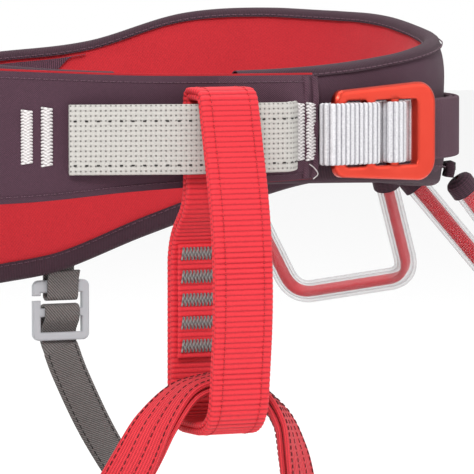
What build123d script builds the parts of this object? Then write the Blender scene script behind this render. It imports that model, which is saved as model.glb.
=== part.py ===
"""Climbing sit harness: padded waist belt, belay loop, leg bridge, risers and two leg loops.

X is the wearer's left, -Y the front, +Z up, millimetres. The origin is the centre of the waist
opening, level with the middle of the tie-in strap. Plan curves are chains of tangent arcs, and a
layer is the space between two offsets of its curve.
"""
import os
from math import asin, atan2, cos, degrees, radians, sin

from build123d import *

os.makedirs("parts", exist_ok=True)

# Waist belt: (radius, turn) of the arcs of the lining from front centre to rear centre.
FRONT_ARC, CORNER_ARC, SIDE_ARC = (273, 20), (59, 60), (126.4, 50)
REACH = (
    FRONT_ARC[0] * sin(radians(20))
    + CORNER_ARC[0] * (sin(radians(80)) - sin(radians(20)))
    + SIDE_ARC[0] * (sin(radians(130)) - sin(radians(80)))
)
REAR_ARC = (REACH / sin(radians(130)), 50)
WAIST_ARCS = (FRONT_ARC, CORNER_ARC, SIDE_ARC, REAR_ARC)
WAIST_FRONT = -106.6
LINING = 1.2
FOAM_OUT = 8.8
PAD = 10.0
BIND_TOP = 6.0
BIND_BOTTOM = 9.0
PAD_TIPS = (-36, 16)
BAND_IN = 10.4
BAND_OUT = 14.4
BAND_END = 49.5
BAND_SIDE = -74
WEB = 25.0
WEB_THICK = 2.0
TACK = 0.8

# Waist buckle, along s from its left end, with n outward from its middle plane.
BUCKLE_HEADING = 14.3
BUCKLE_OUT = 17.5
BUCKLE_TOUCH = 16.0

# Adjuster webbing: middle of the sewn run, middle of the tail, and their keeper.
RUN_OUT = 12.4
TAIL_OUT = 14.9
KEEPER_IN = 10.35
KEEPER_OUT = 16.95
KEEPER_HEADING = 104

# Leg loops: arcs of the lining from front to rear, on the outer side.
LEG_ARCS = ((72, 40), (90, 100), (72, 40))
LEG_X = 98.0
LEG_FRONT = -97.8
LEG_PAD = 8.0
LEG_WEB = 20.0
LEG_WEB_THICK = 1.5
LEG_WEB_Z = -204.0
LEG_BUCKLE_HEADING = 33

# Belay loop, strap and bridge.
STRAP_TALL = 28.0
LOOP_WIDE = 25.0
LOOP_THICK = 5.0
TUBE_R = 5.0
TUBE_BORE_R = 3.7


def save(part, name):
    """Label a finished piece and write it."""
    part.label = name
    export_step(part, f"parts/{name}.step")


def plan_point(arcs, front, heading, out, centre_x=0.0):
    """Point on a plan curve's offset, where the curve has turned by this heading."""
    side = -1 if heading < 0 else 1
    left = abs(heading)
    x, y, turned = 0.0, front, 0.0
    for radius, turn in arcs:
        step = min(turn, left - turned)
        if step <= 0:
            break
        x += radius * (sin(radians(turned + step)) - sin(radians(turned)))
        y += radius * (cos(radians(turned)) - cos(radians(turned + step)))
        turned += step
    x += out * sin(radians(left))
    y -= out * cos(radians(left))
    return (centre_x + side * x, y)


def waist_point(heading, out, z=0.0):
    """Point beside the waist belt at this heading and distance outside the lining."""
    return (*plan_point(WAIST_ARCS, WAIST_FRONT, heading, out), z)


def plan_face(arcs, front, out):
    """Closed plan curve at this offset, as a face on the XY plane."""
    with BuildSketch() as plan:
        with BuildLine():
            at, way = Vector(0, front - out), Vector(1, 0)
            for radius, turn in arcs:
                arc = JernArc(start=at, tangent=way, radius=radius + out, arc_size=turn)
                at, way = arc @ 1, arc % 1
            mirror(about=Plane.YZ)
        make_face()
    return plan.sketch


def plan_ring(arcs, front, inner, outer, low, high, centre_x=0.0):
    """Upright ring between two offsets of a plan curve."""
    outside = plan_face(arcs, front, outer)
    inside = plan_face(arcs, front, inner)
    with BuildPart() as ring:
        with BuildSketch(Plane((centre_x, 0, low))):
            add(outside)
            add(inside, mode=Mode.SUBTRACT)
        extrude(amount=high - low)
    return ring.part


def waist_ring(inner, outer, low=-95, high=70):
    """Upright ring around the waist."""
    return plan_ring(WAIST_ARCS, WAIST_FRONT, inner, outer, low, high)


def edge_region(plane, low_points, high_points, low_by, high_by, reach, both=False):
    """Solid between two smooth edges drawn on a plane, extruded by reach."""
    low = [(a, b + low_by) for a, b in low_points]
    high = [(a, b + high_by) for a, b in high_points]
    with BuildPart() as region:
        with BuildSketch(plane):
            with BuildLine():
                Spline(*low)
                Line(low[-1], high[-1])
                Spline(*high[::-1])
                Line(high[0], low[0])
            make_face()
        extrude(amount=reach, both=both)
    return region.part


# Belt edges: height against Y in the front half, and against X in the rear half.
FRONT_TOP = ((-140, 24), (-112, 26), (-85, 34), (-40, 40), (0, 45), (25, 46))
FRONT_LOW = ((-140, -18), (-112, -20), (-70, -25), (-20, -28), (25, -28))
REAR_TOP_SIDE = ((45, 29.4), (83, 42), (120, 46), (155, 46))
REAR_LOW_SIDE = ((31, -70.8), (68, -55), (105, -38.5), (132, -28), (155, -28))


def both_ways(middle, side):
    """Edge heights across the rear, from the middle's height and one side's points."""
    return (*[(-x, z) for x, z in reversed(side)], (0, middle), *side)


REAR_TOP = both_ways(25, REAR_TOP_SIDE)
REAR_LOW = both_ways(-76, REAR_LOW_SIDE)
SPLIT_Y = 25


def belt_space(low_by, high_by):
    """Everything between the belt's lower and upper edge, each moved by its amount."""
    front = edge_region(Plane.YZ, FRONT_LOW, FRONT_TOP, low_by, high_by, 140, both=True)
    rear_plane = Plane((0, SPLIT_Y, 0), x_dir=(1, 0, 0), z_dir=(0, -1, 0))
    rear = edge_region(rear_plane, REAR_LOW, REAR_TOP, low_by, high_by, -120)
    return front + rear


def front_gap():
    """The space between the two tips of the padded belt."""
    width = PAD_TIPS[1] - PAD_TIPS[0]
    return Pos((PAD_TIPS[0] + PAD_TIPS[1]) / 2, -110, 0) * Box(width, 60, 120)


def belt_layer(name, inner, outer, space, holes=()):
    """One layer of the padded belt: a ring trimmed to a space, without its holes."""
    ring = waist_ring(inner, outer)
    gap = front_gap()
    with BuildPart() as layer:
        add(ring)
        add(space, mode=Mode.INTERSECT)
        add(gap, mode=Mode.SUBTRACT)
        for hole in holes:
            add(hole, mode=Mode.SUBTRACT)
    save(layer.part, name)


def lumbar_notch():
    """Wedge at the top rear that the lumbar patch fills."""
    with BuildPart() as notch:
        with BuildSketch(Plane((0, 140, 0), x_dir=(1, 0, 0), z_dir=(0, -1, 0))):
            with BuildLine():
                Polyline((-52, 36), (52, 36), (0, -13), close=True)
            make_face()
        extrude(amount=60)
    return notch.part


def belt():
    """Waist belt: shell, foam with its load webbing, lining with its patch, and bindings."""
    inside = belt_space(BIND_BOTTOM, -BIND_TOP)
    notch = lumbar_notch()
    load = waist_ring(6.6, FOAM_OUT, -WEB / 2, WEB / 2)
    space = belt_space(12, -12)
    gap = front_gap()
    with BuildPart() as load_webbing:
        add(load)
        add(space, mode=Mode.INTERSECT)
        add(gap, mode=Mode.SUBTRACT)
    save(load_webbing.part, "load_webbing")
    belt_layer("waist_lining", 0, LINING, inside, [notch])
    belt_layer("waist_foam", LINING, FOAM_OUT, inside, [load_webbing.part])
    belt_layer("waist_shell", FOAM_OUT, PAD, inside)
    ring = waist_ring(0, LINING)
    with BuildPart() as patch:
        add(ring)
        add(inside, mode=Mode.INTERSECT)
        add(notch, mode=Mode.INTERSECT)
    save(patch.part, "lumbar_patch")
    whole = belt_space(0, 0)
    above = belt_space(-BIND_TOP, -BIND_TOP)
    below = belt_space(BIND_BOTTOM, BIND_BOTTOM)
    belt_layer("waist_binding_top", 0, PAD + 0.2, whole, [above])
    belt_layer("waist_binding_bottom", 0, PAD + 0.2, whole, [below])


BAND_LOW = ((-152, -27.5), (-73, -25), (-28, -21), (BAND_END, -18))
BAND_TOP = ((-152, 31), (-73, 27), (-28, 25), (BAND_END, 24))


def front_band():
    """Front band: lining, webbing, and the sleeve around the webbing."""
    plane = Plane((0, BAND_SIDE, 0), x_dir=(1, 0, 0), z_dir=(0, -1, 0))
    space = edge_region(plane, BAND_LOW, BAND_TOP, 0, 0, 120)
    lining = waist_ring(BAND_IN, BAND_IN + 0.9)
    webbing = waist_ring(BAND_IN + 0.9, BAND_IN + 0.9 + WEB_THICK, -WEB / 2, WEB / 2)
    sleeve = waist_ring(BAND_IN + 0.9, BAND_OUT)
    with BuildPart() as front_band_lining:
        add(lining)
        add(space, mode=Mode.INTERSECT)
    save(front_band_lining.part, "front_band_lining")
    with BuildPart() as waist_webbing:
        add(webbing)
        add(space, mode=Mode.INTERSECT)
    save(waist_webbing.part, "front_band_webbing")
    with BuildPart() as front_band_sleeve:
        add(sleeve)
        add(space, mode=Mode.INTERSECT)
        add(waist_webbing.part, mode=Mode.SUBTRACT)
    save(front_band_sleeve.part, "front_band_sleeve")


def facing(heading, out, z=0.0, arcs=WAIST_ARCS, front=WAIST_FRONT, centre_x=0.0):
    """Plane touching a plan curve's offset, x along the curve, y up, z outward."""
    x, y = plan_point(arcs, front, heading, out, centre_x)
    turn = radians(heading)
    return Plane((x, y, z), x_dir=(cos(turn), sin(turn), 0), z_dir=(sin(turn), -cos(turn), 0))


def tacks(name, planes, width, tall, thick):
    """Bartacks: thin upright bars of thread, one on each plane."""
    with BuildPart() as bars:
        for plane in planes:
            with BuildSketch(plane):
                RectangleRounded(width, tall, min(width, tall) * 0.3)
            extrude(amount=thick)
    save(bars.part, name)


def flat_strap(plane, points, radii, thick, width):
    """Strap whose middle line lies on a plane, with its width across the plane."""
    with BuildLine(plane) as middle:
        FilletPolyline(*points, radius=radii)
    start = middle.line
    across = Plane(start @ 0, x_dir=plane.z_dir, z_dir=start % 0)
    with BuildPart() as strap:
        with BuildSketch(across):
            Rectangle(width, thick)
        sweep(path=middle.line)
    return strap.part


def plan_strap(points, radii, thick, width, z=0.0):
    """Upright strap whose middle line lies in plan."""
    return flat_strap(Plane((0, 0, z)), points, radii, thick, width)


def tie_in_strap():
    """Strap over the front band that the belay loop hangs on."""
    ends = ((-11.8, 16.6), (-2.7, 25.3), (5.8, 26.3), (7.4, 16.6))
    points = [plan_point(WAIST_ARCS, WAIST_FRONT, heading, out) for heading, out in ends]
    strap = plan_strap(points, 4, 4, STRAP_TALL)
    save(strap, "tie_in_strap")


def closed_loop(plane, points, radii, thick, width):
    """Closed loop of webbing from its rounded outer outline, with its width across the plane."""
    with BuildPart() as loop:
        with BuildSketch(plane):
            with BuildLine():
                FilletPolyline(*points, radius=radii, close=True)
            make_face()
            offset(amount=-thick, mode=Mode.SUBTRACT)
        extrude(amount=width / 2, both=True)
    return loop.part


BACK_Y = -122.4
OVERLAP_Y = -113.9


def belay_loop():
    """Belay loop: doubled webbing, its overlapping end and the bartacks."""
    outline = ((BACK_Y, 20.4), (-140.2, 20.4), (-158, -48), (-150, -118), (-107, -118),
               (-108, -46), (BACK_Y, -26))
    radii = (7.5, 8, 70, 22, 21, 14, 9)
    save(closed_loop(Plane.YZ, outline, radii, LOOP_THICK, LOOP_WIDE), "belay_loop_webbing")
    overlap_plane = Plane((0, OVERLAP_Y, -70), x_dir=(1, 0, 0), z_dir=(0, -1, 0))
    with BuildPart() as overlap:
        with BuildSketch(overlap_plane):
            Rectangle(21, 46)
        extrude(amount=1.5)
    save(overlap.part, "belay_loop_overlap")
    with BuildPart() as bars:
        with BuildSketch(overlap_plane.offset(1.5)):
            with GridLocations(0, 8.8, 1, 5):
                RectangleRounded(19, 4.4, 1.5)
        extrude(amount=TACK)
    save(bars.part, "belay_loop_bartacks")


def twisted_strap(stations, width, thick):
    """Strap lofted through (position, across, along) stations."""
    with BuildPart() as strap:
        for position, across, along in stations:
            with BuildSketch(Plane(position, x_dir=across, z_dir=along)):
                Rectangle(width, thick)
        loft()
    return strap.part


def half_stations(points, twists):
    """Stations of a strap from its middle down one side, turning about the upright."""
    stations = []
    for index, (point, twist) in enumerate(zip(points, twists)):
        before = Vector(points[max(index - 1, 0)])
        after = Vector(points[min(index + 1, len(points) - 1)])
        along = Vector(1, 0, 0) if index == 0 else (after - before).normalized()
        side = Vector(sin(radians(twist)), cos(radians(twist)), 0)
        across = (side - along * side.dot(along)).normalized()
        stations.append((point, across, along))
    return stations


BRIDGE = ((0, -130, -97), (15, -130.5, -101), (27, -130, -113), (35, -125.5, -129), (42, -117, -146),
          (49, -106, -163), (53, -99.5, -177))
BRIDGE_TWIST = (0, 12, 32, 48, 56, 58, 58)
RISER = ((34.5, 113.1, -105.7), (39, 112, -118), (48, 107, -140), (58.5, 99, -163), (69, 88.5, -186))
RISER_TWIST = (90, 90, 92, 96, 102)


def bridge():
    """Strap through the belay loop that joins the two leg loops."""
    half = twisted_strap(half_stations(BRIDGE, BRIDGE_TWIST), 19, 6)
    with BuildPart() as strap:
        add(half)
        mirror(about=Plane.YZ)
    save(strap.part, "leg_bridge_strap")


def riser():
    """Left elastic riser between the hook and the rear of the leg loop."""
    stations = []
    for index, point in enumerate(RISER):
        before = Vector(RISER[max(index - 1, 0)])
        after = Vector(RISER[min(index + 1, len(RISER) - 1)])
        along = (after - before).normalized()
        turn = radians(RISER_TWIST[index])
        side = Vector(sin(turn), cos(turn), 0)
        stations.append((point, (side - along * side.dot(along)).normalized(), along))
    return twisted_strap(stations, 17, 2)


HOOK_X, HOOK_Y, HOOK_Z = 34.5, 109.7, -79.5
ANCHOR_TOP, ANCHOR_LOW = -73.3, -84.2


def hook():
    """Left hook buckle: an open bar for the anchor loop over a slot for the riser."""
    with BuildPart() as frame:
        with BuildSketch(Plane((HOOK_X, HOOK_Y + 4.7, HOOK_Z), x_dir=(1, 0, 0), z_dir=(0, -1, 0))):
            with Locations((0, -9)):
                RectangleRounded(27, 27, 3)
            with Locations((0, -4.6), (0, -15.4)):
                Rectangle(20, 7.0, mode=Mode.SUBTRACT)
            with Locations((-12, -3.5)):
                Rectangle(6, 2.2, mode=Mode.SUBTRACT)
        extrude(amount=2.6)
        chamfer(frame.edges().filter_by(Axis.Y, reverse=True), 0.35)
    return frame.part


def riser_anchors():
    """Elastic loops under the rear edge of the belt, one for each hook."""
    near, far = HOOK_Y + 0.4, HOOK_Y + 6.4
    outline = ((near, ANCHOR_TOP), (far, ANCHOR_TOP), (far, ANCHOR_LOW), (near, ANCHOR_LOW))
    loop = closed_loop(Plane.YZ.offset(HOOK_X), outline, 2.2, 1.2, 15)
    with BuildPart() as anchors:
        add(loop)
        mirror(about=Plane.YZ)
    save(anchors.part, "riser_anchors")


def buckle_parts(plane, length, slot_tall, thick, web_thick, web_wide, high_left, high_right):
    """Slide buckle: frame, middle bar, anchor webbing loop and the webbing over the bar."""
    k = length / 54
    section = Plane(plane.origin, x_dir=plane.x_dir, z_dir=(0, 0, -1))
    left_half, right_half = high_left / 2, high_right / 2
    corners = ((0, -left_half), (length, -right_half), (length, right_half), (0, left_half))
    pin_half = thick * 0.36
    pin_space = Plane(plane.origin - plane.z_dir * pin_half, x_dir=plane.x_dir, z_dir=plane.z_dir)
    with BuildPart() as pin:
        with BuildSketch(pin_space):
            with Locations((32 * k, 0)):
                Rectangle(4 * k, slot_tall + 3)
        extrude(amount=2 * pin_half)
    with BuildPart() as frame:
        with BuildSketch(plane.offset(-thick / 2)):
            with BuildLine():
                FilletPolyline(*corners, radius=(5 * k, 9 * k, 9 * k, 5 * k), close=True)
            make_face()
            for start, end in ((5, 16.5), (20.5, 44)):
                with Locations(((start + end) / 2 * k, 0)):
                    RectangleRounded((end - start) * k, slot_tall, 1.5 * k, mode=Mode.SUBTRACT)
        extrude(amount=thick)
        add(pin.part, mode=Mode.SUBTRACT)
    rim = frame.part.faces().sort_by(Axis(plane.origin, plane.z_dir))
    edges = rim[-1].outer_wire().edges() + rim[0].outer_wire().edges()
    softened = chamfer(edges, 0.9 * k)
    clear = thick / 2 + 0.35
    outer = clear + web_thick
    racetrack = ((-5.5 * k, -outer), (21.3 * k + web_thick, -outer), (21.3 * k + web_thick, outer),
                 (-5.5 * k, outer))
    anchor = closed_loop(section, racetrack, web_thick + 0.3, web_thick, web_wide)
    low = -(clear + 1.5 * web_thick + 0.35)
    tail = -(clear + 0.5 * web_thick)
    top = pin_half + 0.4 + web_thick / 2
    left = 30 * k - 0.5 - web_thick / 2
    route = ((57 * k, low), (left, low), (left, top), (35.4 * k, top), (41.2 * k, tail), (57 * k, tail))
    bight = flat_strap(section, route, web_thick * 0.7, web_thick, web_wide)
    return softened, pin.part, anchor, bight, section, low, tail


def waist_buckle():
    """Waist buckle and the webbing that the buckle carries; returns its section plane."""
    touch = facing(BUCKLE_HEADING, BUCKLE_OUT)
    plane = Plane(touch.origin - touch.x_dir * BUCKLE_TOUCH, x_dir=touch.x_dir, z_dir=touch.z_dir)
    made = buckle_parts(plane, 54, 27, 4.5, WEB_THICK, WEB, 35, 41.6)
    names = ("waist_buckle_frame", "waist_buckle_bar", "buckle_anchor_webbing", "adjuster_bight")
    for part, name in zip(made, names):
        save(part, name)
    return made[4], made[5], made[6]


def wrap_line(start, out, end_heading):
    """Plan line from a point, tangent to the front corner, then along the side at an offset."""
    centre = plan_point(WAIST_ARCS, WAIST_FRONT, 20, 0)
    radius = WAIST_ARCS[1][0]
    middle = Vector(centre[0] - radius * sin(radians(20)), centre[1] + radius * cos(radians(20)))
    reach = radius + out
    away = Vector(*start) - middle
    turn = degrees(atan2(away.Y, away.X)) + degrees(asin((1 - (reach / away.length) ** 2) ** 0.5))
    touch = middle + Vector(reach * cos(radians(turn)), reach * sin(radians(turn)))
    way = Vector(-sin(radians(turn)), cos(radians(turn)))
    heading = turn + 90
    with BuildLine() as line:
        Line(start, touch)
        corner = JernArc(start=touch, tangent=way, radius=reach, arc_size=80 - heading)
        JernArc(start=corner @ 1, tangent=corner % 1, radius=WAIST_ARCS[2][0] + out,
                arc_size=end_heading - 80)
    return line.line


def upright_strap(line, thick, width, z=0.0):
    """Upright strap along a plan line."""
    start = line @ 0
    with BuildPart() as strap:
        with BuildSketch(Plane((start.X, start.Y, z), x_dir=(0, 0, 1), z_dir=line % 0)):
            Rectangle(width, thick)
        sweep(path=Pos(0, 0, z) * line)
    return strap.part


def adjuster(section, low, tail):
    """Adjuster webbing: sewn run from the wing to the buckle, and the tail over it."""
    starts = [section.from_local_coords(Vector(58.7, level, 0)) for level in (low, tail)]
    run = upright_strap(wrap_line((starts[0].X, starts[0].Y), RUN_OUT, 122), WEB_THICK, WEB)
    tail_strap = upright_strap(wrap_line((starts[1].X, starts[1].Y), TAIL_OUT, 112), WEB_THICK, WEB)
    with BuildPart() as webbing:
        add(run)
        add(tail_strap)
    save(webbing.part, "adjuster_webbing")


def keeper():
    """Elastic keeper around the adjuster webbing and its tail on the left side."""
    outside = waist_ring(KEEPER_IN, KEEPER_OUT, -14.8, 14.8)
    inside = waist_ring(RUN_OUT - 1.15, TAIL_OUT + 1.15, -13.3, 13.3)
    reach = facing(KEEPER_HEADING, TAIL_OUT) * Box(11, 60, 20)
    with BuildPart() as loop:
        add(outside)
        add(inside, mode=Mode.SUBTRACT)
        add(reach, mode=Mode.INTERSECT)
    save(loop.part, "tail_keeper")


GEAR = {
    "front_left": (70, 97, -24, -25, 62, 40, 12),
    "rear_left": (104, 134, -25, -38, 54, 32, 12),
}


def gear_plane(spec):
    """Plane of a gear loop: x from its front to its rear end, y down and outward."""
    front, rear, front_z, rear_z, _, lean, _ = spec
    a = Vector(*waist_point(front, PAD + 6.2, front_z))
    b = Vector(*waist_point(rear, PAD + 6.2, rear_z))
    along = (b - a).normalized()
    outward = Vector(along.Y, -along.X, 0).normalized()
    drop = outward * sin(radians(lean)) + Vector(0, 0, -1) * cos(radians(lean))
    normal = along.cross(drop).normalized()
    return Plane(a, x_dir=along, z_dir=normal), (b - a).length


def gear_loop(side, spec):
    """Left gear loop: clear tube and the tape inside it."""
    plane, chord = gear_plane(spec)
    drop, bend = spec[4], spec[6]
    with BuildLine(plane) as route:
        FilletPolyline((0, 0), (6, drop), (chord - 6, drop), (chord, 0), radius=bend)
    path = route.line
    start = Plane(path @ 0, x_dir=plane.z_dir, z_dir=path % 0)
    with BuildPart() as tube:
        with BuildSketch(start):
            Circle(TUBE_R)
            Circle(TUBE_BORE_R, mode=Mode.SUBTRACT)
        sweep(path=path)
    with BuildPart() as tape:
        with BuildSketch(start):
            Rectangle(6.2, 1.3)
        sweep(path=path)
    right = side.replace("left", "right")
    for kind, part in (("tube", tube.part), ("tape", tape.part)):
        save(part, f"gear_{kind}_{side}")
        save(mirror(part, about=Plane.YZ), f"gear_{kind}_{right}")


def gear_tabs():
    """Sewn tabs that hold the gear loop ends on the belt."""
    with BuildPart() as tabs:
        for front, rear, front_z, rear_z, *_ in GEAR.values():
            for heading, z in ((front, front_z), (rear, rear_z)):
                with BuildSketch(facing(heading, PAD + 0.3, z + 4.8)):
                    RectangleRounded(12, 6.6, 1.5)
                extrude(amount=4)
        mirror(about=Plane.YZ)
    save(tabs.part, "gear_loop_tabs")


HAUL_Z = -14


def haul_loop():
    """Webbing loop at the rear centre, and the patch it is sewn under."""
    rear = plan_point(WAIST_ARCS, WAIST_FRONT, 180, PAD)[1]
    low = HAUL_Z - 42
    outline = ((rear + 1.6, HAUL_Z), (rear + 7.6, HAUL_Z), (rear + 15, low), (rear + 3, low))
    loop = closed_loop(Plane.YZ, outline, (1.9, 1.9, 5, 5), 1.8, 15)
    save(loop, "haul_loop")
    with BuildPart() as patch:
        with BuildSketch(Plane((0, rear + 0.2, HAUL_Z + 7), x_dir=(-1, 0, 0), z_dir=(0, 1, 0))):
            RectangleRounded(30, 11, 2)
        extrude(amount=3)
    save(patch.part, "haul_loop_patch")


def leg_ring(inner, outer, low, high):
    """Upright ring around the left leg."""
    return plan_ring(LEG_ARCS, LEG_FRONT, inner, outer, low, high, LEG_X)


LEG_TOP = ((-120, -178), (-60, -180), (20, -174), (110, -182))
LEG_LOW = ((-120, -222), (-60, -226), (20, -244), (110, -258))


def leg_space(low_by, high_by):
    """Everything between the leg loop's lower and upper edge."""
    plane = Plane((-5, 0, 0), x_dir=(0, 1, 0), z_dir=(1, 0, 0))
    return edge_region(plane, LEG_LOW, LEG_TOP, low_by, high_by, 220)


def leg_slot():
    """The space at the front that the leg buckle needs, cut from the pad layers."""
    x, y = plan_point(LEG_ARCS, LEG_FRONT, LEG_BUCKLE_HEADING, 4, LEG_X)
    turn = radians(LEG_BUCKLE_HEADING)
    plane = Plane((x, y, -215), x_dir=(cos(turn), sin(turn), 0))
    return plane * Box(13, 60, 140)


def both_sides(part, name):
    """Write the left piece and its mirror image."""
    save(part, f"left_{name}")
    save(mirror(part, about=Plane.YZ), f"right_{name}")


def leg_loop():
    """Leg loops: pad layers, binding, webbing, keeper and bartacks."""
    inside = leg_space(4, -4)
    slot = leg_slot()
    for name, inner, outer in (("leg_lining", 0, 1), ("leg_foam", 1, 7), ("leg_shell", 7, LEG_PAD)):
        ring = leg_ring(inner, outer, -270, -160)
        with BuildPart() as layer:
            add(ring)
            add(inside, mode=Mode.INTERSECT)
            add(slot, mode=Mode.SUBTRACT)
        both_sides(layer.part, name)
    ring = leg_ring(0, LEG_PAD + 0.2, -270, -160)
    whole = leg_space(0, 0)
    with BuildPart() as binding:
        add(ring)
        add(whole, mode=Mode.INTERSECT)
        add(inside, mode=Mode.SUBTRACT)
        add(slot, mode=Mode.SUBTRACT)
    both_sides(binding.part, "leg_binding")


def leg_webbing(start_plane, length):
    """Webbing round the leg loop between the two ends of the leg buckle."""
    x0, x1 = -5.0, length + 5.0
    ring = leg_ring(LEG_PAD + 1, LEG_PAD + 1 + LEG_WEB_THICK, LEG_WEB_Z - LEG_WEB / 2,
                    LEG_WEB_Z + LEG_WEB / 2)
    cut = start_plane * Pos((x0 + x1) / 2, 0, 0) * Box(x1 - x0, 60, 60)
    with BuildPart() as webbing:
        add(ring)
        add(cut, mode=Mode.SUBTRACT)
    both_sides(webbing.part, "leg_webbing")


def leg_buckle():
    """Leg buckle, its webbing, and the rest of the leg loop's webbing."""
    touch = facing(LEG_BUCKLE_HEADING, LEG_PAD + 6.4, LEG_WEB_Z, LEG_ARCS, LEG_FRONT, LEG_X)
    plane = Plane(touch.origin - touch.x_dir * 17, x_dir=touch.x_dir, z_dir=touch.z_dir)
    made = buckle_parts(plane, 34, 21.5, 3.4, LEG_WEB_THICK, LEG_WEB, 27, 31)
    frame, pin, anchor, bight = made[:4]
    both_sides(frame, "leg_buckle_frame")
    both_sides(pin, "leg_buckle_bar")
    with BuildPart() as webbing:
        add(anchor)
        add(bight)
    both_sides(webbing.part, "leg_buckle_webbing")
    leg_webbing(plane, 34)


def leg_keeper():
    """Elastic keeper on the leg webbing."""
    half = LEG_WEB / 2
    outside = leg_ring(LEG_PAD + 0.25, LEG_PAD + 3.4, LEG_WEB_Z - half - 1.2, LEG_WEB_Z + half + 1.2)
    inside = leg_ring(LEG_PAD + 0.85, LEG_PAD + 2.65, LEG_WEB_Z - half - 0.3, LEG_WEB_Z + half + 0.3)
    plane = facing(75, LEG_PAD, LEG_WEB_Z, LEG_ARCS, LEG_FRONT, LEG_X)
    reach = plane * Box(9, 60, 20)
    with BuildPart() as loop:
        add(outside)
        add(inside, mode=Mode.SUBTRACT)
        add(reach, mode=Mode.INTERSECT)
    both_sides(loop.part, "leg_keeper")


belt()
front_band()
tacks("front_bartacks", [facing(h, BAND_OUT + 0.1) for h in (-15.1, -13.5, 8.3, 9.4)], 4.6, 23, TACK)
tie_in_strap()
belay_loop()
bridge()
both_sides(hook(), "hook_buckle")
both_sides(riser(), "riser")
riser_anchors()
buckle_section, buckle_low, buckle_tail = waist_buckle()
adjuster(buckle_section, buckle_low, buckle_tail)
keeper()
for loop_side, loop_spec in GEAR.items():
    gear_loop(loop_side, loop_spec)
gear_tabs()
haul_loop()
leg_loop()
leg_buckle()
leg_keeper()
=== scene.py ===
"""Looks of a climbing sit harness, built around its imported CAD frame.

Lengths are millimetres until a mesh is made, in the CAD frame: X the wearer's left, -Y the front,
+Z up. Straps and pads are sections carried along stations, with a UV map in metres so that every
weave has its real pitch.
"""
from math import asin, copysign, cos, pi, radians, sin

import bmesh
import bpy
from mathutils import Matrix, Vector, noise


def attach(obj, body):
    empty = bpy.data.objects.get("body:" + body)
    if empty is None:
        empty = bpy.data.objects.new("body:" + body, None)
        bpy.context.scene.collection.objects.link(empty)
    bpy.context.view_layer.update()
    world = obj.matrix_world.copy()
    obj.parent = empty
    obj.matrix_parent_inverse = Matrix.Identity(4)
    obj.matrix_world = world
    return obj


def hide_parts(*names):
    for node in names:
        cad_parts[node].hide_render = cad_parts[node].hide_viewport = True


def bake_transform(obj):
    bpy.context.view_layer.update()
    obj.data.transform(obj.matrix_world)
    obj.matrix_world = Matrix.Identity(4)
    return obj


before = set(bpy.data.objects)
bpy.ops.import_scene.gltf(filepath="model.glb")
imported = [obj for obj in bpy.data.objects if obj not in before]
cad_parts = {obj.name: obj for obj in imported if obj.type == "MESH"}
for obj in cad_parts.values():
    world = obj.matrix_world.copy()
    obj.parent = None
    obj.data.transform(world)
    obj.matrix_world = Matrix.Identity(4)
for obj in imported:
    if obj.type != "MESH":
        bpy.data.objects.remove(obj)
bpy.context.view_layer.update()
MM = 0.001
UP = Vector((0, 0, 1))
ACROSS = Vector((1, 0, 0))


# -------- driving dimensions, as in the CAD
WAIST_ARCS = [(273, 20), (59, 60), (126.4, 50), (135.298, 50)]
WAIST_FRONT = -106.6
PAD = 10.0
PROBE_OUT = 5  # where across a pad its upper and lower edges are measured
BAND_END = 49.5
PAD_TIPS = (-36, 16)
LEG_ARCS = [(72, 40), (90, 100), (72, 40)]
LEG_FRONT, LEG_X, LEG_PAD = -97.8, 98.0, 8.0
LEG_WEB_Z = -204.0
RUN_OUT, TAIL_OUT = 12.4, 14.9
BUCKLE_HEADING, BUCKLE_OUT, BUCKLE_TOUCH = 14.3, 17.5, 16.0
LEG_BUCKLE_HEADING = 33
FRONT_TOP = [(-140, 24), (-112, 26), (-85, 34), (-40, 40), (0, 45), (25, 46)]
FRONT_LOW = [(-140, -18), (-112, -20), (-70, -25), (-20, -28), (25, -28)]
REAR_TOP = [(0, 27), (45, 32), (83, 44.5), (112, 47), (132, 46), (155, 46)]
REAR_LOW = [(0, -76), (31, -70.8), (68, -55), (105, -38.5), (132, -28), (155, -28)]
BAND_LOW = [(-152, -27.5), (-73, -25), (-28, -21), (49.5, -18)]
BAND_TOP = [(-152, 31), (-73, 27), (-28, 25), (49.5, 24)]
LEG_TOP = [(-120, -178), (-60, -180), (20, -174), (110, -182)]
LEG_LOW = [(-120, -222), (-60, -226), (20, -244), (110, -258)]


# -------- curves
def smooth(points, x):
    """Height of a smooth curve through points, at x."""
    if x <= points[0][0]:
        return points[0][1]
    if x >= points[-1][0]:
        return points[-1][1]
    slopes = [(b[1] - a[1]) / (b[0] - a[0]) for a, b in zip(points, points[1:])]
    ends = [slopes[0]] + [(a + b) / 2 if a * b > 0 else 0 for a, b in zip(slopes, slopes[1:])] + [slopes[-1]]
    for i, (a, b) in enumerate(zip(points, points[1:])):
        if x <= b[0]:
            w = b[0] - a[0]
            t = (x - a[0]) / w
            return ((2 * t ** 3 - 3 * t ** 2 + 1) * a[1] + (t ** 3 - 2 * t ** 2 + t) * w * ends[i]
                    + (3 * t ** 2 - 2 * t ** 3) * b[1] + (t ** 3 - t ** 2) * w * ends[i + 1])


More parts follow.
